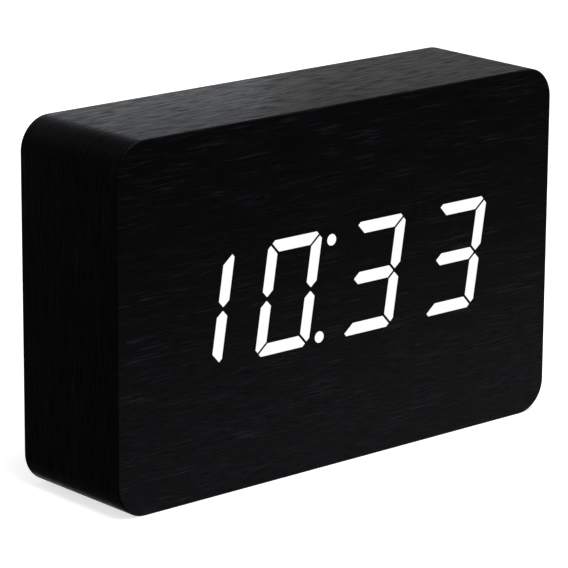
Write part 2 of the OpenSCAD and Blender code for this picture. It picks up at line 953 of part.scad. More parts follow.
module buzzer() {
    color(black_plastic)
        sounder(control_mid - button_pitch, mid_z - buzzer_drop, buzzer_d, buzzer_h);
}

module microphone() {
    color(steel)
        sounder(control_mid, mid_z - mic_drop, mic_d, mic_h);
}

module tact_switches() {
    color("darkslategray")
        for (i = [0 : 2])
            at(button_x(i), mid_z + button_rise)
                difference() {
                    slab(board_back_y, tact_top_y)
                        square(tact_side, center = true);
                    rod(plunger_d + 2 * slip, tact_top_y - plunger_depth - button_travel - fit,
                        tact_top_y + over);
                }
}

module plunger(i) {
    color("tan")
        at(button_x(i), mid_z + button_rise)
            rod(plunger_d, tact_top_y - plunger_depth, plunger_top_y);
}

module set_plunger() {
    plunger(0);
}

module up_plunger() {
    plunger(1);
}

module down_plunger() {
    plunger(2);
}

// Button cap: stem on the plunger, retaining flange behind the panel, dished cap through it
module button(i) {
    r = button_d / 2;
    top = panel_face_y + button_proud;
    color(black_plastic)
        at(button_x(i), mid_z + button_rise)
            rotate([-90, 0, 0])
                difference() {
                    rotate_extrude()
                        polygon([
                            [0, plunger_top_y], [stem_d / 2, plunger_top_y],
                            [stem_d / 2, flange_top_y - flange_t], [r + flange_rim, flange_top_y - flange_t],
                            [r + flange_rim, flange_top_y], [r, flange_top_y], [r, top - cap_edge],
                            [r - cap_edge, top], [0, top]
                        ]);
                    translate([0, 0, top - dish_d + dish_r])
                        sphere(dish_r);
                }
}

module set_button() {
    button(0);
}

module up_button() {
    button(1);
}

module down_button() {
    button(2);
}

module sound_switch_body() {
    color("darkgray")
        translate([slide_x, board_back_y, mid_z - slide_drop])
            difference() {
                slab(0, slide_body[1])
                    square([slide_body[0], slide_body[2]], center = true);
                slab(slide_body[1] - knob_depth - fit, slide_body[1] + over)
                    square([knob_w + slide_travel + 2 * slip, knob_h + 2 * slip], center = true);
            }
}

// Grooved knob at the left end of its slot, seen from the front, at rest
module sound_switch_slider() {
    top = panel_face_y + button_proud;
    bottom = board_back_y + slide_body[1] - knob_depth;
    color(black_plastic)
        at(slide_x - slide_travel / 2, mid_z - slide_drop)
            translate([0, 0, -knob_h / 2])
                linear_extrude(knob_h)
                    difference() {
                        polygon([
                            [-knob_w / 2, bottom], [knob_w / 2, bottom], [knob_w / 2, top - knob_edge],
                            [knob_w / 2 - knob_edge, top], [knob_edge - knob_w / 2, top],
                            [-knob_w / 2, top - knob_edge]
                        ]);
                        for (x = [-knob_w / 5, knob_w / 5])
                            translate([x, top])
                                square(knob_groove, center = true);
                    }
}

module usb_shell() {
    color(steel)
        at(slide_x, mid_z - usb_drop)
            difference() {
                slab(board_back_y, panel_face_y - usb_inset)
                    polygon(usb_outline(0));
                slab(board_back_y + usb_floor, panel_face_y)
                    polygon(usb_outline(usb_shell_t));
            }
}

module usb_tongue() {
    color(black_plastic)
        at(slide_x, mid_z - usb_drop)
            slab(board_back_y + usb_floor, panel_face_y - usb_inset - tongue_size[1])
                translate([0, usb_h / 2 - usb_shell_t - tongue_size[2] - fit])
                    square([tongue_size[0], tongue_size[2]], center = true);
}

// Cell along +X: flat end at x = 0, terminal button at the far end
module cell() {
    nub_r = 1.9;
    nub_l = 1;
    edge = 0.5;
    r = cell_d / 2;
    rotate([0, 90, 0])
        rotate_extrude()
            polygon([
                [0, 0], [r - edge, 0], [r, edge], [r, cell_l - nub_l - edge], [r - edge, cell_l - nub_l],
                [nub_r, cell_l - nub_l], [nub_r, cell_l], [0, cell_l]
            ]);
}

// Cells alternate: even ones have their terminal button at the low X end
module aaa_cell(k) {
    dimple_end = contact_t + dimple_h + touch;
    color("slategray")
        if (k % 2 == 0)
            translate([bay_x0 + dimple_end + cell_l, cell_y, cell_z(k)])
                mirror([1, 0, 0])
                    cell();
        else
            translate([bay_x1 - dimple_end - cell_l, cell_y, cell_z(k)])
                cell();
}

module aaa_cell_1() {
    aaa_cell(0);
}

module aaa_cell_2() {
    aaa_cell(1);
}

module aaa_cell_3() {
    aaa_cell(2);
}

module aaa_cell_4() {
    aaa_cell(3);
}

// Plate against an end wall that spans the cells from first to last
module contact_plate(x, first, last) {
    translate([x, cell_y - plate_h / 2, cell_z(last) - plate_w / 2])
        cube([contact_t, plate_h, cell_z(first) - cell_z(last) + plate_w]);
}

module dimple(k) {
    low_end = k % 2 == 0;
    x = low_end ? bay_x0 + contact_t : bay_x1 - contact_t - dimple_h;
    translate([x, cell_y, cell_z(k)])
        rotate([0, 90, 0])
            cylinder(
                d1 = low_end ? dimple_d : dimple_d / 2,
                d2 = low_end ? dimple_d / 2 : dimple_d,
                h = dimple_h
            );
}

module contact_plates() {
    color(steel) {
        contact_plate(bay_x0, 0, 0);
        contact_plate(bay_x0, 1, 2);
        contact_plate(bay_x0, 3, 3);
        contact_plate(bay_x1 - contact_t, 0, 1);
        contact_plate(bay_x1 - contact_t, 2, 3);
        for (k = [0 : cell_count - 1])
            dimple(k);
        for (k = [0, cell_count - 1])
            translate([control_x1 - tab_l, tab_y - contact_t / 2, tab_z(k) - tab_w / 2])
                cube([tab_l + bay_wall + contact_t, contact_t, tab_w]);
    }
}

module contact_spring() {
    points = [for (i = [0 : spring_rings - 1]) each spring_ring(i / curl_rings)];
    polyhedron(points, tube_faces(spring_rings, wire_sides));
}

module contact_springs() {
    color(steel)
        for (k = [0 : cell_count - 1])
            if (k % 2 == 0)
                translate([bay_x1 - contact_t, cell_y, cell_z(k)])
                    rotate([0, 0, 180])
                        contact_spring();
            else
                translate([bay_x0 + contact_t, cell_y, cell_z(k)])
                    contact_spring();
}

module battery_lead(k) {
    points = [for (i = [0 : lead_rings - 1]) each lead_ring(i / (lead_rings - 1))];
    translate([0, 0, tab_z(k)])
        polyhedron(points, tube_faces(lead_rings, lead_sides));
}

module battery_lead_positive() {
    color("firebrick")
        battery_lead(0);
}

module battery_lead_negative() {
    color("black")
        battery_lead(cell_count - 1);
}

// Slot beside the latch tongue of the door, with a round end
module tongue_slit() {
    translate([door_x0, door_under_y - touch, 0])
        rotate([-90, 0, 0])
            linear_extrude(door_t + 2 * touch) {
                translate([-slit_w, -slit_w / 2])
                    square([slit_w + tongue_l, slit_w]);
                translate([tongue_l, 0])
                    circle(d = slit_w);
            }
}

// Door with a round hinge edge and a stub pin at each end of it.
// Its latch tongue has finger ribs outside and a lip inside, and a rib lies between cells.
module battery_door() {
    color(black_plastic) {
        difference() {
            translate([0, 0, mid_z - door_h / 2])
                linear_extrude(door_h) {
                    translate([door_x0, door_under_y])
                        square([hinge_x - door_x0, door_t]);
                    translate([hinge_x, hinge_y])
                        circle(door_r);
                }
            for (side = [-1, 1])
                translate([0, 0, mid_z + side * (tongue_w + slit_w) / 2])
                    tongue_slit();
        }
        translate([hinge_x, hinge_y, mid_z - door_h / 2 - pin_l])
            cylinder(r = pin_r, h = door_h + 2 * pin_l);
        for (i = [1 : grip_count])
            translate([door_x0 + i * grip_pitch, 0, mid_z - grip_l / 2])
                linear_extrude(grip_l)
                    polygon([
                        [-grip_w / 2, panel_face_y - touch], [grip_w / 2, panel_face_y - touch],
                        [grip_w / 2, panel_face_y], [grip_w / 4, panel_face_y + grip_h],
                        [-grip_w / 4, panel_face_y + grip_h], [-grip_w / 2, panel_face_y]
                    ]);
        translate([bay_x0 + lip_room, door_under_y - lip_d, mid_z - lip_w / 2])
            cube([lip_t, lip_d + touch, lip_w]);
        for (k = [0 : cell_count - 2])
            translate([bay_x0 + bay_l / 5, door_under_y - hold_d, (cell_z(k) + cell_z(k + 1) - hold_w) / 2])
                cube([bay_l * 3 / 5, hold_d + touch, hold_w]);
    }
}

case_frame();
front_board();
rear_board();
front_veneer();
wrap_veneer();
base_veneer();
rear_veneer();
lit_segments();
light_mask();
reflector();
segment_diffusers();
leds();
display_board();
driver_chip();
display_screws();
display_socket();
ribbon_cable();
control_socket();
rear_panel();
panel_screws();
control_board();
board_screws();
mcu_chip();
crystal_can();
capacitor();
coin_holder();
coin_cell();
buzzer();
microphone();
tact_switches();
set_plunger();
up_plunger();
down_plunger();
set_button();
up_button();
down_button();
sound_switch_body();
sound_switch_slider();
usb_shell();
usb_tongue();
aaa_cell_1();
aaa_cell_2();
aaa_cell_3();
aaa_cell_4();
contact_plates();
contact_springs();
battery_lead_positive();
battery_lead_negative();
battery_door();
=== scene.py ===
"""Looks of a brick-shaped digital alarm clock: black veneer, lit digits, rear panel and battery bay."""
import json
import math

import bmesh
import bpy
from mathutils import Matrix, Quaternion, Vector

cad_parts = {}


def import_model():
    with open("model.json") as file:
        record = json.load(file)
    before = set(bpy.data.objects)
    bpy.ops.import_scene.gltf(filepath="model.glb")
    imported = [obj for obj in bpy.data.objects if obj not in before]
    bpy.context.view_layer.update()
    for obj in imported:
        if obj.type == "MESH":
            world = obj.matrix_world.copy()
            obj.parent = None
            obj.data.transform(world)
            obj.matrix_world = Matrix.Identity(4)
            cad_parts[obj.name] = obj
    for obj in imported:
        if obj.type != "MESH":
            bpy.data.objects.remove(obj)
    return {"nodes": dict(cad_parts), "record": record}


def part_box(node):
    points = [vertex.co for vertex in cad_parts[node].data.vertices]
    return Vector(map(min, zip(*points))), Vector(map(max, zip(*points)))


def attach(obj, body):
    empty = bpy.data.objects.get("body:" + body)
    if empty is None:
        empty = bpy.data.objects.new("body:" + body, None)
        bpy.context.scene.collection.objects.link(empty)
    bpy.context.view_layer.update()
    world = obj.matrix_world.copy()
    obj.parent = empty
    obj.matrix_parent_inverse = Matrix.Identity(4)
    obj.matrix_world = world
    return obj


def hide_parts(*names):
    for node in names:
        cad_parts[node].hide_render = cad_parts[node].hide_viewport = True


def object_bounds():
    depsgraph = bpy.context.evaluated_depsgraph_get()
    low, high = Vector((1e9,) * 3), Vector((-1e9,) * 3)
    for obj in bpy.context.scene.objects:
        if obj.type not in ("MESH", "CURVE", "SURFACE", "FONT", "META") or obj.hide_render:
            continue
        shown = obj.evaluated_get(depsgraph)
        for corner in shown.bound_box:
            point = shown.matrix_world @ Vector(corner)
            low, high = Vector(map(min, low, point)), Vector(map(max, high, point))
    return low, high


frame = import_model()
CAD_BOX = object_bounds()
NODES = frame["nodes"]
MM = 0.001

# Camera, as the photograph was taken
AZIMUTH = math.radians(-41.509)
ELEVATION = math.radians(15.072)
ROLL = math.radians(0.369)
DISTANCE = 936.9 * MM
AIM_RIGHT = -2.77 * MM
AIM_UP = -3.77 * MM
SENSOR = 36.0
LENS = 217.92
CLIP_START = 0.05
CLIP_END = 50.0

# Case
EDGE_R = 9.0 * MM
VENEER_T = 0.6 * MM
RIM_R = 0.3 * MM
RIM_STEPS = 4
CORNER_STEPS = 14
GRAIN = "grain"

# Battery bay
CELL_COUNT = 4
CELL_TOP = 10.0 * MM
BUTTON_H = 1.0 * MM
FILM_ROLL = 0.5 * MM
STEEL, JACKET, TOP = 0, 1, 2
INK = 0.03 * MM
SIGN_L = 3.0 * MM
SIGN_W = 0.6 * MM
SIGN_INSET = 6.0 * MM
SPRING_TURNS = 3
SPRING_FLAT = 0.35
SPRING_R0 = 3.6 * MM
SPRING_R1 = 2.2 * MM
SPRING_L = 4.0 * MM
SPRING_STEPS = 96
SPRING_SIDES = 10
WIRE_R = 0.3 * MM

# Wiring
LEAD_R = 0.7 * MM
LEAD_Y = 8.0 * MM
LEAD_SAG = 4.5 * MM
LEAD_STEPS = 40
LEAD_SIDES = 20
RIBBON_T = 0.5 * MM
RIBBON_CREST = 0.06 * MM
RIBBON_WIRES = 10
RIBBON_POINTS = 8
RIBBON_STEPS = 40

# Marks
ARROW_L = 3.2 * MM
ARROW_T = 0.15 * MM
ARROW_INSET = 12.5 * MM
PAD_COUNT = 5
PAD_PITCH = 0.65 * MM
PAD_W = 0.35 * MM
PAD_T = 0.05 * MM
PAD_INSET = 0.2 * MM
LETTER = 1.9 * MM
SET_LETTER = LETTER * 1.25
TRIANGLE = LETTER * 0.55
KEY_SIGN_RISE = 7.2 * MM
SWITCH_SIGN_RISE = 4.4 * MM
SWITCH_SIGN_X = 3.0 * MM
SLIDER_TO_SLOT = 1.0 * MM


# Node helpers


def material(name):
    made = bpy.data.materials.new(name)
    made.use_nodes = True
    return made, made.node_tree, made.node_tree.nodes["Principled BSDF"]


def add(tree, kind, inputs=None, **settings):
    """A new node. An input given as a socket is linked, and any other value is set."""
    made = tree.nodes.new(kind)
    for key, value in settings.items():
        setattr(made, key, value)
    for key, value in (inputs or {}).items():
        if isinstance(value, bpy.types.NodeSocket):
            tree.links.new(value, made.inputs[key])
        else:
            made.inputs[key].default_value = value
    return made


def set_shader(tree, shader, **inputs):
    for key, value in inputs.items():
        socket = shader.inputs[key.replace("_", " ")]
        if isinstance(value, bpy.types.NodeSocket):
            tree.links.new(value, socket)
        else:
            socket.default_value = value


def noise(tree, coords, scale, detail=2.0, roughness=0.55):
    """Noise over coordinates that are scaled by axis, in cycles a metre: its strength and its vector."""
    scaled = add(tree, "ShaderNodeMapping", {"Vector": coords, "Scale": scale}, vector_type="POINT")
    made = add(
        tree,
        "ShaderNodeTexNoise",
        {"Vector": scaled.outputs[0], "Scale": 1.0, "Detail": detail, "Roughness": roughness},
    )
    return made.outputs[0], made.outputs[1]


def ramp(tree, value, stops):
    made = add(tree, "ShaderNodeValToRGB", {"Fac": value})
    points = made.color_ramp.elements
    while len(points) < len(stops):
        points.new(0.5)
    for point, (place, colour) in zip(points, stops):
        point.position = place
        point.color = (*colour, 1.0)
    return made.outputs["Color"]


def spread(tree, value, low, high, start=0.3, end=0.7):
    """The part of a pattern between start and end, mapped to the range from low to high."""
    inputs = {"Value": value, "From Min": start, "From Max": end, "To Min": low, "To Max": high}
    return add(tree, "ShaderNodeMapRange", inputs).outputs[0]


def maths(tree, operation, a, b):
    made = add(tree, "ShaderNodeMath", {0: a, 1: b}, operation=operation)
    return made.outputs[0]


def bump(tree, height, depth, strength=1.0):
    inputs = {"Height": height, "Distance": depth, "Strength": strength}
    return add(tree, "ShaderNodeBump", inputs).outputs["Normal"]


def object_coords(tree):
    return add(tree, "ShaderNodeTexCoord").outputs["Object"]


def grain_coords(tree):
    return add(tree, "ShaderNodeAttribute", attribute_name=GRAIN).outputs["Vector"]


# Materials
SHEET_TONES = [
    (0.0, (0.0009, 0.00097, 0.00115)),
    (0.4, (0.0022, 0.0024, 0.0028)),
    (1.0, (0.0118, 0.0126, 0.0146)),
]
WRAP_TONES = [
    (0.0, (0.0014, 0.00147, 0.0016)),
    (0.4, (0.0024, 0.0025, 0.0028)),
    (1.0, (0.0056, 0.006, 0.0068)),
]
PORE_TONE = (0.0006, 0.00063, 0.0007, 1.0)
VENEER_GLOSS = 0.038
VENEER_TINT = (0.83, 0.89, 1.0, 1.0)
# Length and width of the marks in the veneer
SHEET_PORE = (4.6 * MM, 0.38 * MM)
WRAP_PORE = (9.0 * MM, 0.62 * MM)
FIBRE = (13 * MM, 0.6 * MM)
FIGURE = (26 * MM, 4.5 * MM)
WAVE = (30 * MM, 9 * MM)
SWAY = 2.0 * MM
SHEET_RELIEF = 0.022 * MM
WRAP_RELIEF = 0.048 * MM
STEEL_LOW = (0.42, 0.42, 0.42)
STEEL_HIGH = (0.55, 0.55, 0.54)
STEEL_ROUGH = 0.34
# Painted shade in the recess of a screw: its tone, and the depths below the face where it starts and where it
# is full
RECESS_PAINTED_SHADE = (0.05, 0.05, 0.05, 1.0)
PAINTED_SHADE_START = 0.1 * MM
PAINTED_SHADE_FULL = 0.25 * MM


def veneer(name, coords_of, across, pore, tones, relief):
    """Black-stained open-grain veneer. Its grain runs along X, and across is the other axis of its face."""
    made, tree, shader = material(name)

    def streaks(coords, size, detail=2.0, roughness=0.55):
        scale = [1 / size[0], 0.0, 0.0]
        scale[across] = 1 / size[1]
        return noise(tree, coords, scale, detail, roughness)

    plain = coords_of(tree)
    sway = [0.0, 0.0, 0.0]
    sway[across] = SWAY
    coords = add(
        tree,
        "ShaderNodeVectorMath",
        {0: streaks(plain, WAVE)[1], 1: sway, 2: plain},
        operation="MULTIPLY_ADD",
    ).outputs[0]
    pores = streaks(coords, pore)[0]
    fibres = streaks(coords, FIBRE, 4.0, 0.65)[0]
    figure = streaks(coords, FIGURE)[0]
    filled = spread(tree, pores, 0.0, 1.0, 0.38, 0.5)
    light = maths(tree, "MULTIPLY", spread(tree, fibres, 0.0, 1.0, 0.4, 0.66), spread(tree, figure, 0.3, 1.0))
    tone = ramp(tree, light, tones)
    shade = add(tree, "ShaderNodeMix", {"Factor": filled, "A": PORE_TONE, "B": tone}, data_type="RGBA")
    rough = maths(tree, "ADD", spread(tree, filled, 0.18, 0.0, 0.0, 1.0), spread(tree, fibres, 0.46, 0.32))
    height = maths(tree, "ADD", filled, fibres)
    set_shader(
        tree,
        shader,
        Base_Color=shade.outputs["Result"],
        Roughness=rough,
        Specular_IOR_Level=VENEER_GLOSS,
        Specular_Tint=VENEER_TINT,
        Normal=bump(tree, height, relief, 0.7),
    )
    return made


def moulded(name, low, high, rough, grain=0.25 * MM, depth=0.01 * MM, specular=0.4):
    """Moulded plastic or resin with a fine spark texture and a faint change of tone."""
    made, tree, shader = material(name)
    coords = object_coords(tree)
    cloud = noise(tree, coords, (120.0,) * 3, 3.0)[0]
    spark = noise(tree, coords, (1 / grain,) * 3, 2.0)[0]
    set_shader(
        tree,
        shader,
        Base_Color=ramp(tree, cloud, [(0.3, low), (0.7, high)]),
        Roughness=spread(tree, spark, rough - 0.08, rough + 0.08),
        Specular_IOR_Level=specular,
        Normal=bump(tree, spark, depth, 0.5),
    )
    return made


def metal(name, low, high, rough, brush=(60.0, 60.0, 3000.0), face_y=None):
    """Plated metal with fine drawing lines. Below face_y, in the recess of a screw, its colour is darkened:
    painted shade.
    """
    made, tree, shader = material(name)
    coords = object_coords(tree)
    lines = noise(tree, coords, brush, 3.0)[0]
    patches = noise(tree, coords, (400.0,) * 3, 2.0)[0]
    colour = ramp(tree, patches, [(0.3, low), (0.7, high)])
    if face_y is not None:
        y = add(tree, "ShaderNodeSeparateXYZ", {0: coords}).outputs["Y"]
        # painted shade: the colour darkens with depth below the screw's face
        unshaded = spread(tree, y, 0.0, 1.0, face_y - PAINTED_SHADE_FULL, face_y - PAINTED_SHADE_START)
        inputs = {"Factor": unshaded, "A": RECESS_PAINTED_SHADE, "B": colour}
        colour = add(tree, "ShaderNodeMix", inputs, data_type="RGBA").outputs["Result"]
    set_shader(
        tree,
        shader,
        Base_Color=colour,
        Metallic=1.0,
        Roughness=spread(tree, lines, rough - 0.07, rough + 0.07),
        Normal=bump(tree, lines, 0.004 * MM, 0.5),
    )
    return made


def fibreboard(name, low, high):
    """Fibreboard: matted fibres of mixed tones."""
    made, tree, shader = material(name)
    coords = object_coords(tree)
    fibres = noise(tree, coords, (900.0, 2200.0, 900.0), 4.0, 0.7)[0]
    set_shader(
        tree,
        shader,
        Base_Color=ramp(tree, fibres, [(0.3, low), (0.7, high)]),
        Roughness=spread(tree, fibres, 0.75, 0.95),
        Normal=bump(tree, fibres, 0.05 * MM, 0.6),
    )
    return made


def circuit_board(name):
    """Green solder mask over a net of copper tracks."""
    made, tree, shader = material(name)
    coords = object_coords(tree)
    scaled = add(tree, "ShaderNodeMapping", {"Vector": coords, "Scale": (420.0,) * 3})
    cells = add(
        tree,
        "ShaderNodeTexVoronoi",
        {"Vector": scaled.outputs[0], "Scale": 1.0},
        distance="MANHATTAN",
        feature="F1",
    )
    tracks = maths(tree, "PINGPONG", cells.outputs["Distance"], 0.25)
    set_shader(
        tree,
        shader,
        Base_Color=ramp(tree, tracks, [(0.1, (0.02, 0.1, 0.045)), (0.14, (0.045, 0.2, 0.085))]),
        Roughness=spread(tree, tracks, 0.28, 0.4, 0.0, 0.25),
        Normal=bump(tree, tracks, 0.02 * MM, 0.3),
    )
    return made


def lit_digits(name):
    """White light through the skin of the veneer, a little softer where fibres lie over it."""
    made, tree, shader = material(name)
    fibres = noise(tree, object_coords(tree), (90.0, 0.0, 1500.0), 2.0)[0]
    set_shader(
        tree,
        shader,
        Base_Color=ramp(tree, fibres, [(0.3, (0.09, 0.09, 0.09)), (0.7, (0.12, 0.12, 0.12))]),
        Roughness=spread(tree, fibres, 0.5, 0.6),
        Specular_IOR_Level=0.05,
        Emission_Color=(1.0, 1.0, 0.985, 1.0),
        Emission_Strength=0.9,
    )
    return made


def ribbon(name):
    """Grey ribbon insulation with a line for each wire."""
    made, tree, shader = material(name)
    wires = add(
        tree,
        "ShaderNodeTexWave",
        {"Vector": object_coords(tree), "Scale": 250.0, "Distortion": 0.0},
        bands_direction="X",
    ).outputs[1]
    set_shader(
        tree,
        shader,
        Base_Color=ramp(tree, wires, [(0.2, (0.28, 0.28, 0.29)), (0.8, (0.5, 0.5, 0.51))]),
        Roughness=spread(tree, wires, 0.45, 0.6, 0.0, 1.0),
        Normal=bump(tree, wires, 0.1 * MM, 0.8),
    )
    return made


def cell_jacket(name, low, high):
    """Plain printed film over a cell, with a fine rub."""
    made, tree, shader = material(name)
    rub = noise(tree, object_coords(tree), (150.0, 2500.0, 2500.0), 3.0)[0]
    set_shader(
        tree,
        shader,
        Base_Color=ramp(tree, rub, [(0.3, low), (0.7, high)]),
        Metallic=0.35,
        Roughness=spread(tree, rub, 0.28, 0.42),
        Normal=bump(tree, rub, 0.003 * MM, 0.4),
    )
    return made


MADE = {
    "lit_digits": lit_digits("lit_digits"),
    "fibreboard": fibreboard("fibreboard", (0.2, 0.125, 0.065), (0.4, 0.28, 0.17)),
    "black_film": moulded("black_film", (0.008,) * 3, (0.012,) * 3, 0.7),
    "white_plastic": moulded("white_plastic", (0.8, 0.8, 0.78), (0.86, 0.86, 0.84), 0.45),
    "diffuser": moulded("diffuser", (0.74, 0.73, 0.66), (0.82, 0.81, 0.74), 0.35),
    "led_chip": moulded("led_chip", (0.75, 0.62, 0.2), (0.88, 0.78, 0.36), 0.3),
    "circuit_board": circuit_board("circuit_board"),
    "chip_black": moulded("chip_black", (0.014,) * 3, (0.022,) * 3, 0.55, 0.12 * MM),
    "connector_ivory": moulded("connector_ivory", (0.68, 0.64, 0.53), (0.77, 0.73, 0.62), 0.4),
    "ribbon_grey": ribbon("ribbon_grey"),
    "screw_steel": metal("screw_steel", STEEL_LOW, STEEL_HIGH, STEEL_ROUGH),
    "contact_steel": metal("contact_steel", (0.55, 0.55, 0.53), (0.66, 0.66, 0.63), 0.26),
    "capacitor_sleeve": moulded("capacitor_sleeve", (0.016, 0.024, 0.08), (0.024, 0.034, 0.1), 0.3),
    "panel_black": moulded(
        "panel_black", (0.015, 0.015, 0.016), (0.023, 0.023, 0.024), 0.52, 0.5 * MM, 0.03 * MM
    ),
    "button_black": moulded("button_black", (0.02, 0.02, 0.021), (0.028, 0.028, 0.029), 0.42, 0.18 * MM),
    "plunger_tan": moulded("plunger_tan", (0.26, 0.19, 0.11), (0.34, 0.25, 0.15), 0.5),
    "cell_jacket": cell_jacket("cell_jacket", (0.05, 0.06, 0.075), (0.08, 0.095, 0.115)),
    "lead_red": moulded("lead_red", (0.4, 0.016, 0.016), (0.5, 0.026, 0.024), 0.45),
    "lead_black": moulded("lead_black", (0.014,) * 3, (0.024,) * 3, 0.45),
}
LEGEND = moulded("legend_paint", (0.55, 0.55, 0.54), (0.66, 0.66, 0.65), 0.55, 0.1 * MM, 0.004 * MM)
JACKET_TOP = cell_jacket("cell_jacket_top", (0.3, 0.31, 0.32), (0.38, 0.39, 0.4))
WRAP_VENEER = veneer("veneer_wrap", grain_coords, 1, WRAP_PORE, WRAP_TONES, WRAP_RELIEF)
SHEET_VENEER = veneer("veneer_sheet", object_coords, 2, SHEET_PORE, SHEET_TONES, SHEET_RELIEF)
BASE_VENEER = veneer("veneer_base", object_coords, 1, WRAP_PORE, WRAP_TONES, WRAP_RELIEF)
SCREW_FACE_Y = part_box("panel_screws")[1].y
OWN_LOOKS = {
    "front_veneer": SHEET_VENEER,
    "rear_veneer": SHEET_VENEER,
    "base_veneer": BASE_VENEER,
    "rear_board": fibreboard("fibreboard_stained", (0.006, 0.005, 0.004), (0.018, 0.015, 0.012)),
    # the screws get painted shade in their recesses
    "panel_screws": metal("panel_screw", STEEL_LOW, STEEL_HIGH, STEEL_ROUGH, face_y=SCREW_FACE_Y),
}


def dress_nodes():
    """Gives each CAD node the material of its slot."""
    for part in frame["record"]["subparts"]:
        node = NODES[part["node"]]
        made = OWN_LOOKS.get(part["node"]) or MADE.get(part["material_slot"])
        if made is None:
            continue
        if not node.material_slots:
            node.data.materials.append(made)
        for held in node.material_slots:
            held.material = made


# Mesh helpers


def mesh_object(name, vertices, faces, materials, indices=None, angle=40):
    """A closed mesh with outward faces, smooth up to the given angle."""
    mesh = bpy.data.meshes.new(name)
    mesh.from_pydata([tuple(v) for v in vertices], [], faces)
    for made in materials:
        mesh.materials.append(made)
    if indices:
        mesh.polygons.foreach_set("material_index", indices)
    work = bmesh.new()
    work.from_mesh(mesh)
    bmesh.ops.recalc_face_normals(work, faces=work.faces)
    work.to_mesh(mesh)
    work.free()
    mesh.shade_smooth()
    mesh.set_sharp_from_angle(angle=math.radians(angle))
    made = bpy.data.objects.new(name, mesh)
    bpy.context.scene.collection.objects.link(made)
    return made


def swept(rows, cols):
    """Faces of a sweep with rows of cols points each, closed round its section and at both ends."""
    faces = []
    for i in range(rows - 1):
        for j in range(cols):
            k = (j + 1) % cols
            faces.append((i * cols + j, i * cols + k, (i + 1) * cols + k, (i + 1) * cols + j))
    faces.append(tuple(range(cols)))
    faces.append(tuple(range((rows - 1) * cols, rows * cols)))
    return faces


def tube_points(path, radius, sides):
    """Rings round a path, each turned on from the last so that the tube doesn't twist."""
    points = []
    along = (path[1] - path[0]).normalized()
    side = along.orthogonal().normalized()
    for i, centre in enumerate(path):
        ahead = path[min(i + 1, len(path) - 1)] - path[max(i - 1, 0)]
        turn = along.rotation_difference(ahead.normalized())
        side = (turn @ side).normalized()
        along = ahead.normalized()
        other = along.cross(side)
        for j in range(sides):
            a = 2 * math.pi * j / sides
            points.append(centre + radius * (math.cos(a) * side + math.sin(a) * other))
    return points


def joined(parts):
    """One list of vertices and faces out of several."""
    vertices, faces = [], []
    for more, their in parts:
        faces += [tuple(len(vertices) + i for i in face) for face in their]
        vertices += more
    return vertices, faces


def lathe(profile, kinds, place, segments=56):
    """Turns (x, r) points about X. kinds has the material index of the band after each point but the last."""
    vertices, rings, faces, indices = [], [], [], []
    for x, r in profile:
        count = segments if r > 0 else 1
        rings.append(range(len(vertices), len(vertices) + count))
        for k in range(count):
            a = 2 * math.pi * k / segments
            vertices.append(place @ Vector((x, r * math.cos(a), r * math.sin(a))))
    for near, far, kind in zip(rings, rings[1:], kinds):
        for k in range(segments):
            n = (k + 1) % segments
            corners = [near[k % len(near)], near[n % len(near)], far[n % len(far)], far[k % len(far)]]
            faces.append(tuple(dict.fromkeys(corners)))
            indices.append(kind)
    return vertices, faces, indices


def finish_piece(piece, body, slot, *nodes):
    """Ties a piece to its body and hides the CAD nodes that it replaces. Its slot is not used."""
    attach(piece, body)
    if nodes:
        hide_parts(*nodes)


# Pieces


def corner(x, z, start):
    """A quarter turn about (x, z), clockwise from an angle in degrees, as (centre, direction) pairs."""
    angles = [math.radians(start - 90 * i / CORNER_STEPS) for i in range(CORNER_STEPS + 1)]
    return [(Vector((x, 0, z)), Vector((math.cos(a), 0, math.sin(a)))) for a in angles]


def wrap_skin():
    """Veneer from one lower edge over the sides and the top to the other, with a rounded rear rim."""
    low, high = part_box("wrap_veneer")
    x0, x1 = low.x + EDGE_R, high.x - EDGE_R
    z0, z1 = low.z + EDGE_R, high.z - EDGE_R
    path = corner(x0, z0, 270) + corner(x0, z1, 180) + corner(x1, z1, 90) + corner(x1, z0, 0)
    rear = high.y
    rim = [math.radians(90 * i / RIM_STEPS) for i in range(RIM_STEPS + 1)]
    section = [(low.y, 0.0)]
    section += [(rear - RIM_R + RIM_R * math.sin(a), RIM_R - RIM_R * math.cos(a)) for a in rim]
    section += [(rear, VENEER_T), (low.y, VENEER_T)]
    vertices, grain, run, last = [], [], 0.0, None
    for centre, out in path:
        edge = centre + out * EDGE_R
        run += (edge - last).length if last else 0.0
        last = edge
        for y, inset in section:
            vertices.append(centre + out * (EDGE_R - inset) + Vector((0, y, 0)))
            grain.append((run, y + inset, 0.0))
    made = mesh_object("wrap_skin", vertices, swept(len(path), len(section)), [WRAP_VENEER])
    held = made.data.attributes.new(GRAIN, "FLOAT_VECTOR", "POINT")
    held.data.foreach_set("vector", [c for g in grain for c in g])
    finish_piece(made, "case", "veneer", "wrap_veneer")


def cell_place(k):
    """Where cell k lies: its flat end, with X along it to its terminal button."""
    low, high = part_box("aaa_cell_%d" % (k + 1))
    middle = (low + high) / 2
    if k % 2:
        return Matrix.Translation((low.x, middle.y, middle.z))
    return Matrix.Translation((high.x, middle.y, middle.z)) @ Matrix.Rotation(math.pi, 4, "Z")


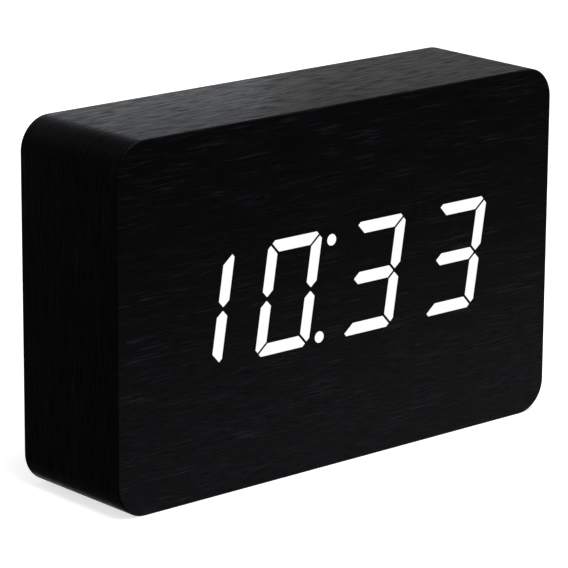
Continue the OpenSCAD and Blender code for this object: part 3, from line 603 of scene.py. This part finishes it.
def cell_profile(length, r):
    """Points (x, r) of a cell from its flat end to its button, and the material index of each band."""
    shoulder = length - BUTTON_H
    # In millimetres
    can = [(0, 0), (0, 3.3), (0.12, 3.55), (0.4, 3.7), (0.4, 4.5)]
    roll = [(0.16, 4.62), (0.1, 4.85), (0.22, 5.08)]
    cap = [(0.42, 4.5), (0.42, 3.0), (0.3, 2.7), (0.05, 2.3), (-0.1, 2.0)]
    button = [(-0.75, 1.9), (-0.93, 1.78), (-1.0, 1.5), (-1.0, 0)]
    points = [(x * MM, s * MM) for x, s in can + roll]
    points += [(FILM_ROLL, r), (shoulder - CELL_TOP, r), (shoulder - FILM_ROLL, r)]
    points += [(shoulder - x * MM, s * MM) for x, s in roll[::-1] + cap + button]
    bands = [STEEL] * (len(can) - 1) + [JACKET] * (len(roll) + 2) + [TOP] * (len(roll) + 2)
    return points, bands + [STEEL] * (len(points) - 1 - len(bands))


def strip(x0, x1, a0, a1, r, place, steps=6):
    """A thin printed bar round a cell's jacket, from angle a0 to a1."""
    vertices = []
    for i in range(steps + 1):
        a = a0 + (a1 - a0) * i / steps
        for x, s in ((x0, r - INK), (x1, r - INK), (x1, r + INK), (x0, r + INK)):
            vertices.append(place @ Vector((x, s * math.cos(a), s * math.sin(a))))
    return vertices, swept(steps + 1, 4)


def cell_signs(length, r, k):
    """A plus sign by the button of cell k and a minus sign by its flat end, where they face the door."""
    place = cell_place(k)
    facing = 0.0 if k % 2 else math.pi
    half = SIGN_L / 2
    thin = SIGN_W / 2
    turn = half / r
    near = thin / r
    plus = length - SIGN_INSET
    minus = SIGN_INSET
    return [
        strip(plus - half, plus + half, facing - near, facing + near, r, place),
        strip(plus - thin, plus + thin, facing + near, facing + turn, r, place),
        strip(plus - thin, plus + thin, facing - turn, facing - near, r, place),
        strip(minus - thin, minus + thin, facing - turn, facing + turn, r, place),
    ]


def cells():
    """Cells in film jackets that roll over the ends of a steel can, with signs by their ends."""
    low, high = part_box("aaa_cell_1")
    length = high.x - low.x
    r = (high.z - low.z) / 2
    points, bands = cell_profile(length, r)
    looks = [MADE["contact_steel"], MADE["cell_jacket"], JACKET_TOP]
    signs = []
    for k in range(CELL_COUNT):
        vertices, faces, indices = lathe(points, bands, cell_place(k))
        made = mesh_object("cell_body_%d" % (k + 1), vertices, faces, looks, indices, 30)
        finish_piece(made, "case", "cell_jacket", "aaa_cell_%d" % (k + 1))
        signs += cell_signs(length, r, k)
    made = mesh_object("cell_signs", *joined(signs), [LEGEND], None, 30)
    finish_piece(made, "case", "white_plastic")


def spring_path(place):
    """Centre line of a contact spring along X from its plate, with flat end turns and an even climb."""
    points = []
    for i in range(SPRING_STEPS + 1):
        t = SPRING_TURNS * i / SPRING_STEPS
        share = (t - SPRING_FLAT) / (SPRING_TURNS - 2 * SPRING_FLAT)
        climb = min(max(share, 0.0), 1.0) * (SPRING_L - 2 * WIRE_R)
        radius = SPRING_R0 + (SPRING_R1 - SPRING_R0) * t / SPRING_TURNS
        a = 2 * math.pi * t
        points.append(place @ Vector((WIRE_R + climb, radius * math.cos(a), radius * math.sin(a))))
    return points


def springs():
    """Contact springs of round wire, one for each cell."""
    low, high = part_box("contact_springs")
    coils = []
    for k in range(CELL_COUNT):
        middle = cell_place(k).translation
        if k % 2:
            place = Matrix.Translation((low.x, middle.y, middle.z))
        else:
            place = Matrix.Translation((high.x, middle.y, middle.z)) @ Matrix.Rotation(math.pi, 4, "Z")
        path = spring_path(place)
        coils.append((tube_points(path, WIRE_R, SPRING_SIDES), swept(len(path), SPRING_SIDES)))
    vertices, faces = joined(coils)
    made = mesh_object("spring_coils", vertices, faces, [MADE["contact_steel"]])
    finish_piece(made, "case", "contact_steel", "contact_springs")


def lead(node):
    """An insulated lead from its solder tab to the board, in a level plane."""
    low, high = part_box(node)
    z = (low.z + high.z) / 2
    start = Vector((high.x, LEAD_Y, z))
    end = Vector((low.x + LEAD_R, high.y, z))
    out = start - Vector(((start.x - end.x) / 2, 0, 0))
    under = end - Vector((0, LEAD_SAG, 0))
    path = []
    for i in range(LEAD_STEPS + 1):
        t = i / LEAD_STEPS
        u = 1 - t
        path.append(u ** 3 * start + 3 * t * u * u * out + 3 * t * t * u * under + t ** 3 * end)
    slot = "lead_red" if node.endswith("positive") else "lead_black"
    vertices = tube_points(path, LEAD_R, LEAD_SIDES)
    made = mesh_object(node + "_wire", vertices, swept(len(path), LEAD_SIDES), [MADE[slot]])
    finish_piece(made, "case", slot, node)


def ribbon_cable():
    """A ribbon of round wires side by side, in a soft S from one socket to the other."""
    low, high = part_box("ribbon_cable")
    rise = high.z - low.z - RIBBON_T
    run = high.y - low.y
    width = high.x - low.x
    across = []
    steps = RIBBON_POINTS * RIBBON_WIRES
    for i in range(steps + 1):
        crest = RIBBON_CREST * abs(math.sin(math.pi * RIBBON_WIRES * i / steps))
        across.append((low.x + width * i / steps, RIBBON_T / 2 + crest))
    section = across + [(x, -h) for x, h in reversed(across)]
    vertices = []
    for i in range(RIBBON_STEPS + 1):
        t = i / RIBBON_STEPS
        y = low.y + run * t
        z = low.z + RIBBON_T / 2 + rise * (1 - math.cos(math.pi * t)) / 2
        lean = Vector((0, -rise * math.pi / 2 * math.sin(math.pi * t), run)).normalized()
        vertices += [Vector((x, y, z)) + lean * h for x, h in section]
    faces = swept(RIBBON_STEPS + 1, len(section))
    made = mesh_object("ribbon_wires", vertices, faces, [MADE["ribbon_grey"]], None, 60)
    finish_piece(made, "case", "ribbon_grey", "ribbon_cable")


def socket_pads():
    """Spring contacts along the tongue of the power socket."""
    low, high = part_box("usb_tongue")
    middle = (low.x + high.x) / 2
    tip = high.y - PAD_INSET
    root = low.y + PAD_INSET
    top = high.z
    w = PAD_W / 2
    parts = []
    for i in range(PAD_COUNT):
        x = middle + (i - (PAD_COUNT - 1) / 2) * PAD_PITCH
        outline = [(x - w, root), (x + w, root), (x + w, tip - w)]
        outline += [(x + w / 2, tip), (x - w / 2, tip), (x - w, tip - w)]
        vertices = [Vector((*point, z)) for z in (top, top + PAD_T) for point in outline]
        parts.append((vertices, swept(2, len(outline))))
    made = mesh_object("socket_pads", *joined(parts), [MADE["contact_steel"]], None, 30)
    finish_piece(made, "case", "contact_steel")


def door_arrow():
    """A raised arrow on the door that points at the finger notch."""
    low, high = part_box("battery_door")
    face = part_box("rear_panel")[1].y
    x = low.x + ARROW_INSET
    z = (low.z + high.z) / 2
    vertices = []
    for y, size in ((face - ARROW_T, ARROW_L), (face, ARROW_L), (face + ARROW_T, ARROW_L - ARROW_T)):
        half = size / 2
        outline = ((x + half, z - half), (x + half, z + half), (x - half, z))
        vertices += [Vector((px, y, pz)) for px, pz in outline]
    made = mesh_object("door_arrow", vertices, swept(3, 3), [MADE["panel_black"]], None, 20)
    finish_piece(made, "door", "panel_black")


def plate(outline, y0, y1):
    """A flat plate that faces +Y, from its outline in x and z."""
    vertices = [Vector((x, y, z)) for y in (y0, y1) for x, z in outline]
    return vertices, swept(2, len(outline))


def lettering(text, x, z, size, y0, thickness):
    """Letters on the rear face, read from behind, as a list of vertices and faces."""
    curve = bpy.data.curves.new(text, "FONT")
    curve.body = text
    curve.size = size
    curve.align_x = "CENTER"
    curve.align_y = "CENTER"
    curve.extrude = thickness / 2
    shown = bpy.data.objects.new(text, curve)
    bpy.context.scene.collection.objects.link(shown)
    bpy.context.view_layer.update()
    mesh = bpy.data.meshes.new_from_object(shown.evaluated_get(bpy.context.evaluated_depsgraph_get()))
    vertices = [Vector((x - v.co.x, y0 + thickness / 2 + v.co.z, z + v.co.y)) for v in mesh.vertices]
    faces = [tuple(p.vertices) for p in mesh.polygons]
    bpy.data.objects.remove(shown)
    bpy.data.meshes.remove(mesh)
    bpy.data.curves.remove(curve)
    return vertices, faces


def triangle(x, z, size, up):
    """Outline of a triangle that points up or down."""
    tip = size if up else -size
    return [(x - size, z - tip / 2), (x + size, z - tip / 2), (x, z + tip / 2)]


def legends():
    """Printed signs by the controls."""
    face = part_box("rear_panel")[1].y
    parts = []
    for node, text in (("set_button", "SET"), ("up_button", "up"), ("down_button", "down")):
        low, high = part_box(node)
        x, z = (low.x + high.x) / 2, (low.z + high.z) / 2 + KEY_SIGN_RISE
        if text == "SET":
            parts.append(lettering(text, x, z, SET_LETTER, face, INK))
        else:
            parts.append(plate(triangle(x, z, TRIANGLE, text == "up"), face, face + INK))
    low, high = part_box("sound_switch_slider")
    slot_x = (low.x + high.x) / 2 + SLIDER_TO_SLOT
    z = (low.z + high.z) / 2 + SWITCH_SIGN_RISE
    parts.append(lettering("OFF", slot_x - SWITCH_SIGN_X, z, LETTER, face, INK))
    parts.append(lettering("ON", slot_x + SWITCH_SIGN_X, z, LETTER, face, INK))
    made = mesh_object("rear_legends", *joined(parts), [LEGEND], None, 30)
    finish_piece(made, "case", "white_plastic")


# Stage
FLOOR_HALF = 5.0
FLOOR_TONE = 0.65
FLOOR_GLOW = 0.7
SHADOW_REACH = 0.4
WHITE_REACH = 1.2
WORLD_LIGHT = 0.28
WHITE = (1.0, 1.0, 1.0)
COOL = (0.76, 0.87, 1.0)
# Name, place, aim, width, height, power, colour, and whether reflections show the lamp
LAMPS = [
    ("key", (0.0, -0.3, 0.62), (0.0, -0.1, 0.0), 0.5, 0.5, 5.2, WHITE, True),
    ("rim", (0.388, 0.875, 0.2), (0.0, 0.0, 0.1), 0.82, 0.38, 0.5, COOL, True),
    ("fill", (-0.04, 0.95, 0.2), (0.0, 0.02, 0.05), 0.36, 0.24, 3.6, WHITE, False),
]
# Name, both ends of one edge, the reach from it to the other edge, and tone
CARDS = [
    ("side_flag", (-0.09, -0.06, 0.0), (-0.09, 0.32, 0.0), (0.0, 0.0, 0.26), 0.1),
    ("side_mat", (-0.09, -0.06, 0.0005), (-0.09, 0.32, 0.0005), (0.016, 0.0, 0.0), 0.1),
    ("front_flag", (-0.15, -0.12, 0.0), (0.5, -0.12, 0.0), (0.0, 0.0, 0.3), 0.0),
    ("rear_flag", (0.12, 0.15, 0.0), (0.45, 0.15, 0.0), (0.0, 0.0, 0.4), 0.7),
    ("top_flag", (-0.35, 0.05, 0.25), (0.15, 0.05, 0.25), (0.0, 0.35, 0.0), 0.0),
]


def most(tree, *values):
    """The largest of several values."""
    held = values[0]
    for value in values[1:]:
        held = maths(tree, "MAXIMUM", held, value)
    return held


def floor():
    """A pale floor that shows white. It glows less near the clock, which keeps a soft shadow there."""
    half = FLOOR_HALF
    mesh = bpy.data.meshes.new("floor")
    corners = [(-half, -half, 0), (half, -half, 0), (half, half, 0), (-half, half, 0)]
    mesh.from_pydata(corners, [], [(0, 1, 2, 3)])
    made = bpy.data.materials.new("floor")
    made.use_nodes = True
    tree = made.node_tree
    tree.nodes.clear()
    rays = add(tree, "ShaderNodeLightPath").outputs
    seen = most(tree, rays["Is Camera Ray"], rays["Is Glossy Ray"], rays["Is Transmission Ray"])
    lit = add(tree, "ShaderNodeBsdfDiffuse", {"Color": (FLOOR_TONE, FLOOR_TONE, FLOOR_TONE, 1.0)})
    away = add(tree, "ShaderNodeVectorMath", {0: object_coords(tree)}, operation="LENGTH").outputs["Value"]
    white = spread(tree, away, FLOOR_GLOW, 1.0, SHADOW_REACH, WHITE_REACH)
    glow = add(tree, "ShaderNodeEmission", {"Strength": maths(tree, "MULTIPLY", seen, white)})
    both = add(tree, "ShaderNodeAddShader", {0: lit.outputs[0], 1: glow.outputs[0]})
    add(tree, "ShaderNodeOutputMaterial", {"Surface": both.outputs[0]})
    mesh.materials.append(made)
    plane = bpy.data.objects.new("floor", mesh)
    bpy.context.scene.collection.objects.link(plane)


def world():
    """White to the camera and in reflections, and a dim even fill otherwise."""
    made = bpy.data.worlds.new("studio")
    bpy.context.scene.world = made
    made.use_nodes = True
    tree = made.node_tree
    rays = add(tree, "ShaderNodeLightPath").outputs
    seen = most(tree, rays["Is Camera Ray"], rays["Is Glossy Ray"], rays["Is Transmission Ray"])
    sky = tree.nodes["Background"]
    sky.inputs["Color"].default_value = (*WHITE, 1.0)
    tree.links.new(most(tree, seen, WORLD_LIGHT), sky.inputs["Strength"])


def softbox(name, place, aim, width, height, power, colour, mirrored):
    """A soft rectangular lamp that the camera doesn't see."""
    lamp = bpy.data.lights.new(name, "AREA")
    lamp.shape = "RECTANGLE"
    lamp.size = width
    lamp.size_y = height
    lamp.energy = power
    lamp.color = colour
    made = bpy.data.objects.new(name, lamp)
    made.location = place
    made.rotation_mode = "QUATERNION"
    made.rotation_quaternion = (Vector(aim) - Vector(place)).to_track_quat("-Z", "Y")
    made.visible_camera = False
    made.visible_glossy = mirrored
    bpy.context.scene.collection.objects.link(made)


def flag(name, start, end, reach, tone):
    """A card from the line between start and end along reach. Only reflections show it, in its even tone."""
    start, end, reach = Vector(start), Vector(end), Vector(reach)
    corners = [start, end, end + reach, start + reach]
    mesh = bpy.data.meshes.new(name)
    mesh.from_pydata(corners, [], [(0, 1, 2, 3)])
    made, tree, shader = material(name)
    set_shader(
        tree,
        shader,
        Base_Color=(0.0, 0.0, 0.0, 1.0),
        Specular_IOR_Level=0.0,
        Emission_Color=(*WHITE, 1.0),
        Emission_Strength=tone,
    )
    mesh.materials.append(made)
    card = bpy.data.objects.new(name, mesh)
    card.visible_camera = False
    card.visible_diffuse = False
    card.visible_shadow = False
    bpy.context.scene.collection.objects.link(card)


def camera():
    """A camera at the photograph's angle, with its framing."""
    centre = (CAD_BOX[0] + CAD_BOX[1]) / 2
    flat = math.cos(ELEVATION)
    back = Vector((math.sin(AZIMUTH) * flat, -math.cos(AZIMUTH) * flat, math.sin(ELEVATION)))
    right = Vector((math.cos(AZIMUTH), math.sin(AZIMUTH), 0))
    up = back.cross(right)
    eye = centre + back * DISTANCE
    aim = centre + right * AIM_RIGHT + up * AIM_UP
    lens = bpy.data.cameras.new("camera")
    lens.sensor_width = SENSOR
    lens.lens = LENS
    lens.clip_start = CLIP_START
    lens.clip_end = CLIP_END
    made = bpy.data.objects.new("camera", lens)
    made.location = eye
    made.rotation_mode = "QUATERNION"
    made.rotation_quaternion = (aim - eye).to_track_quat("-Z", "Y") @ Quaternion((0, 0, 1), ROLL)
    bpy.context.scene.collection.objects.link(made)
    bpy.context.scene.camera = made


def stage():
    floor()
    world()
    for lamp in LAMPS:
        softbox(*lamp)
    for card in CARDS:
        flag(*card)
    camera()
    bpy.context.scene.view_settings.view_transform = "Standard"


dress_nodes()
wrap_skin()
cells()
springs()
lead("battery_lead_positive")
lead("battery_lead_negative")
ribbon_cable()
socket_pads()
door_arrow()
legends()
stage()
